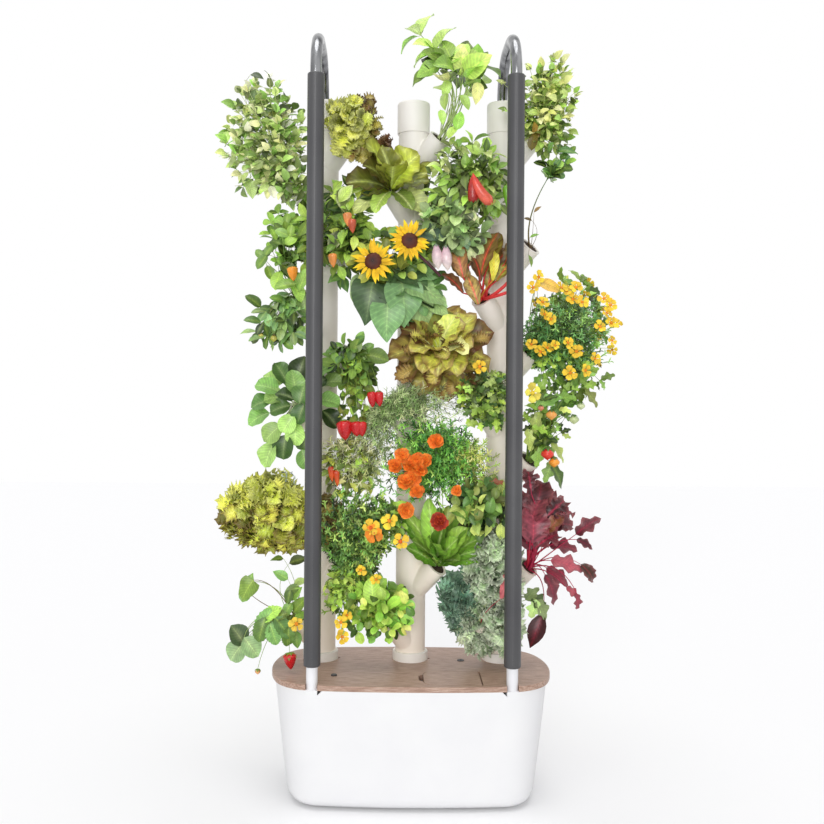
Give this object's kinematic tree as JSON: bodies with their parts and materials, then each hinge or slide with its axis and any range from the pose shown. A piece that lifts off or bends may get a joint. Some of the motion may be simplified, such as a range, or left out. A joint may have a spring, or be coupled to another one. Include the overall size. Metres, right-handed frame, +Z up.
{
  "type": "hydroponic tower garden",
  "caption": "Indoor tower garden: planted columns on an oval water tank with a wooden lid, under inverted-U light arches.",
  "frame": {"origin": "on the floor, under the middle of the tank", "axes": "+Z up, -Y towards the front with the light bars and the fill hatch, +X to the right as seen from the front"},
  "size_m": [0.8742, 0.302, 1.6884],
  "materials": {
    "tank_white": "satin",
    "walnut": "satin",
    "cream_plastic": "matte",
    "polished_tube": "polished",
    "bar_grey": "satin",
    "post_white": "gloss",
    "lens_white": "satin",
    "board_white": "matte",
    "rubber_black": "matte",
    "steel": "satin",
    "dark_plastic": "satin",
    "hose_clear": "satin",
    "leaf_green": "satin",
    "leaf_lime": "satin",
    "leaf_dark": "satin",
    "leaf_bronze": "satin",
    "leaf_red": "satin",
    "leaf_blue_green": "satin"
  },
  "bodies": {
    "base": {"tank": "tank_white", "tank_feet": "rubber_black", "lid": "walnut", "hatch_hinge_pin": "steel", "control_box": "dark_plastic", "power_inlet": "dark_plastic", "column_collars": "cream_plastic", "column_left": "cream_plastic", "column_centre": "cream_plastic", "column_right": "cream_plastic", "drip_heads": "dark_plastic", "riser_tubes": "hose_clear", "water_manifold": "dark_plastic", "pump_housing": "dark_plastic", "pump_strainer": "dark_plastic", "grow_cups": "cream_plastic", "pole_pins": "steel", "light_arches": "polished_tube", "lower_posts": "post_white", "light_housings": "bar_grey", "led_boards": "board_white", "light_lenses": "lens_white", "light_end_caps": "bar_grey"},
    "hatch": {"fill_hatch": "walnut"},
    "button": {"switch_button": "dark_plastic"},
    "impeller": {"pump_impeller": "dark_plastic"},
    "cap_left": {"cap_left": "cream_plastic"},
    "cap_centre": {"cap_centre": "cream_plastic"},
    "cap_right": {"cap_right": "cream_plastic"},
    "oregano_left_outer_1": {"oregano_left_outer_1": "leaf_lime"},
    "oak_lettuce_left_inner_1": {"oak_lettuce_left_inner_1": "leaf_bronze"},
    "ground_cherry_left_outer_2": {"ground_cherry_left_outer_2": "leaf_green"},
    "orange_pepper_left_inner_2": {"orange_pepper_left_inner_2": "leaf_green"},
    "pak_choi_left_outer_3": {"pak_choi_left_outer_3": "leaf_green"},
    "strawberry_left_inner_3": {"strawberry_left_inner_3": "leaf_green"},
    "curly_lettuce_left_outer_4": {"curly_lettuce_left_outer_4": "leaf_lime"},
    "chili_left_inner_4": {"chili_left_inner_4": "leaf_green"},
    "strawberry_left_outer_5": {"strawberry_left_outer_5": "leaf_green"},
    "marigold_left_inner_5": {"marigold_left_inner_5": "leaf_dark"},
    "romaine_centre_left_1": {"romaine_centre_left_1": "leaf_green"},
    "basil_centre_right_1": {"basil_centre_right_1": "leaf_green"},
    "sunflower_centre_left_2": {"sunflower_centre_left_2": "leaf_green"},
    "eggplant_centre_right_2": {"eggplant_centre_right_2": "leaf_blue_green"},
    "dill_centre_left_3": {"dill_centre_left_3": "leaf_lime"},
    "red_lettuce_centre_right_3": {"red_lettuce_centre_right_3": "leaf_bronze"},
    "viola_centre_left_4": {"viola_centre_left_4": "leaf_green"},
    "marigold_centre_right_4": {"marigold_centre_right_4": "leaf_dark"},
    "lamb_lettuce_centre_left_5": {"lamb_lettuce_centre_left_5": "leaf_lime"},
    "romaine_centre_right_5": {"romaine_centre_right_5": "leaf_green"},
    "chili_right_inner_1": {"chili_right_inner_1": "leaf_green"},
    "mint_right_outer_1": {"mint_right_outer_1": "leaf_lime"},
    "chard_right_inner_2": {"chard_right_inner_2": "leaf_green"},
    "thyme_right_outer_2": {"thyme_right_outer_2": "leaf_green"},
    "parsley_right_inner_3": {"parsley_right_inner_3": "leaf_green"},
    "signet_marigold_right_outer_3": {"signet_marigold_right_outer_3": "leaf_dark"},
    "spinach_right_inner_4": {"spinach_right_inner_4": "leaf_dark"},
    "tomato_right_outer_4": {"tomato_right_outer_4": "leaf_green"},
    "kale_right_inner_5": {"kale_right_inner_5": "leaf_blue_green"},
    "beet_right_outer_5": {"beet_right_outer_5": "leaf_red"}
  },
  "joints": [
    {"name": "hatch_hinge", "type": "hinge", "parent": "base", "child": "hatch", "pos_m": [0.141, -0.088, 0.265], "axis": [0, 1, 0], "range_deg": [0, 90]},
    {"name": "switch_press", "type": "slide", "parent": "base", "child": "button", "axis": [0, 0, 1], "range_m": [-0.0015, 0], "stiffness_N_per_m": 400},
    {"name": "impeller_spin", "type": "hinge", "parent": "base", "child": "impeller", "pos_m": [0, 0.0205, 0.04], "axis": [0, 1, 0], "continuous": true},
    {"name": "cap_left_lift", "type": "slide", "parent": "base", "child": "cap_left", "axis": [0, 0, 1], "range_m": [0, 0.03]},
    {"name": "cap_centre_lift", "type": "slide", "parent": "base", "child": "cap_centre", "axis": [0, 0, 1], "range_m": [0, 0.03]},
    {"name": "cap_right_lift", "type": "slide", "parent": "base", "child": "cap_right", "axis": [0, 0, 1], "range_m": [0, 0.03]},
    {"name": "oregano_left_outer_1_pull", "type": "slide", "parent": "base", "child": "oregano_left_outer_1", "axis": [-0.5, -0.5, 0.7071], "range_m": [0, 0.03]},
    {"name": "oak_lettuce_left_inner_1_pull", "type": "slide", "parent": "base", "child": "oak_lettuce_left_inner_1", "axis": [0.5792, -0.4056, 0.7071], "range_m": [0, 0.03]},
    {"name": "ground_cherry_left_outer_2_pull", "type": "slide", "parent": "base", "child": "ground_cherry_left_outer_2", "axis": [-0.5, -0.5, 0.7071], "range_m": [0, 0.03]},
    {"name": "orange_pepper_left_inner_2_pull", "type": "slide", "parent": "base", "child": "orange_pepper_left_inner_2", "axis": [0.5792, -0.4056, 0.7071], "range_m": [0, 0.03]},
    {"name": "pak_choi_left_outer_3_pull", "type": "slide", "parent": "base", "child": "pak_choi_left_outer_3", "axis": [-0.5, -0.5, 0.7071], "range_m": [0, 0.03]},
    {"name": "strawberry_left_inner_3_pull", "type": "slide", "parent": "base", "child": "strawberry_left_inner_3", "axis": [0.5792, -0.4056, 0.7071], "range_m": [0, 0.03]},
    {"name": "curly_lettuce_left_outer_4_pull", "type": "slide", "parent": "base", "child": "curly_lettuce_left_outer_4", "axis": [-0.5, -0.5, 0.7071], "range_m": [0, 0.03]},
    {"name": "chili_left_inner_4_pull", "type": "slide", "parent": "base", "child": "chili_left_inner_4", "axis": [0.5792, -0.4056, 0.7071], "range_m": [0, 0.03]},
    {"name": "strawberry_left_outer_5_pull", "type": "slide", "parent": "base", "child": "strawberry_left_outer_5", "axis": [-0.5, -0.5, 0.7071], "range_m": [0, 0.03]},
    {"name": "marigold_left_inner_5_pull", "type": "slide", "parent": "base", "child": "marigold_left_inner_5", "axis": [0.5792, -0.4056, 0.7071], "range_m": [0, 0.03]},
    {"name": "romaine_centre_left_1_pull", "type": "slide", "parent": "base", "child": "romaine_centre_left_1", "axis": [-0.5, -0.5, 0.7071], "range_m": [0, 0.03]},
    {"name": "basil_centre_right_1_pull", "type": "slide", "parent": "base", "child": "basil_centre_right_1", "axis": [0.5792, -0.4056, 0.7071], "range_m": [0, 0.03]},
    {"name": "sunflower_centre_left_2_pull", "type": "slide", "parent": "base", "child": "sunflower_centre_left_2", "axis": [-0.5, -0.5, 0.7071], "range_m": [0, 0.03]},
    {"name": "eggplant_centre_right_2_pull", "type": "slide", "parent": "base", "child": "eggplant_centre_right_2", "axis": [0.5792, -0.4056, 0.7071], "range_m": [0, 0.03]},
    {"name": "dill_centre_left_3_pull", "type": "slide", "parent": "base", "child": "dill_centre_left_3", "axis": [-0.5, -0.5, 0.7071], "range_m": [0, 0.03]},
    {"name": "red_lettuce_centre_right_3_pull", "type": "slide", "parent": "base", "child": "red_lettuce_centre_right_3", "axis": [0.5792, -0.4056, 0.7071], "range_m": [0, 0.03]},
    {"name": "viola_centre_left_4_pull", "type": "slide", "parent": "base", "child": "viola_centre_left_4", "axis": [-0.5, -0.5, 0.7071], "range_m": [0, 0.03]},
    {"name": "marigold_centre_right_4_pull", "type": "slide", "parent": "base", "child": "marigold_centre_right_4", "axis": [0.5792, -0.4056, 0.7071], "range_m": [0, 0.03]},
    {"name": "lamb_lettuce_centre_left_5_pull", "type": "slide", "parent": "base", "child": "lamb_lettuce_centre_left_5", "axis": [-0.5, -0.5, 0.7071], "range_m": [0, 0.03]},
    {"name": "romaine_centre_right_5_pull", "type": "slide", "parent": "base", "child": "romaine_centre_right_5", "axis": [0.5792, -0.4056, 0.7071], "range_m": [0, 0.03]},
    {"name": "chili_right_inner_1_pull", "type": "slide", "parent": "base", "child": "chili_right_inner_1", "axis": [-0.5, -0.5, 0.7071], "range_m": [0, 0.03]},
    {"name": "mint_right_outer_1_pull", "type": "slide", "parent": "base", "child": "mint_right_outer_1", "axis": [0.5792, -0.4056, 0.7071], "range_m": [0, 0.03]},
    {"name": "chard_right_inner_2_pull", "type": "slide", "parent": "base", "child": "chard_right_inner_2", "axis": [-0.5, -0.5, 0.7071], "range_m": [0, 0.03]},
    {"name": "thyme_right_outer_2_pull", "type": "slide", "parent": "base", "child": "thyme_right_outer_2", "axis": [0.5792, -0.4056, 0.7071], "range_m": [0, 0.03]},
    {"name": "parsley_right_inner_3_pull", "type": "slide", "parent": "base", "child": "parsley_right_inner_3", "axis": [-0.5, -0.5, 0.7071], "range_m": [0, 0.03]},
    {"name": "signet_marigold_right_outer_3_pull", "type": "slide", "parent": "base", "child": "signet_marigold_right_outer_3", "axis": [0.5792, -0.4056, 0.7071], "range_m": [0, 0.03]},
    {"name": "spinach_right_inner_4_pull", "type": "slide", "parent": "base", "child": "spinach_right_inner_4", "axis": [-0.5, -0.5, 0.7071], "range_m": [0, 0.03]},
    {"name": "tomato_right_outer_4_pull", "type": "slide", "parent": "base", "child": "tomato_right_outer_4", "axis": [0.5792, -0.4056, 0.7071], "range_m": [0, 0.03]},
    {"name": "kale_right_inner_5_pull", "type": "slide", "parent": "base", "child": "kale_right_inner_5", "axis": [-0.5, -0.5, 0.7071], "range_m": [0, 0.03]},
    {"name": "beet_right_outer_5_pull", "type": "slide", "parent": "base", "child": "beet_right_outer_5", "axis": [0.5792, -0.4056, 0.7071], "range_m": [0, 0.03]}
  ]
}
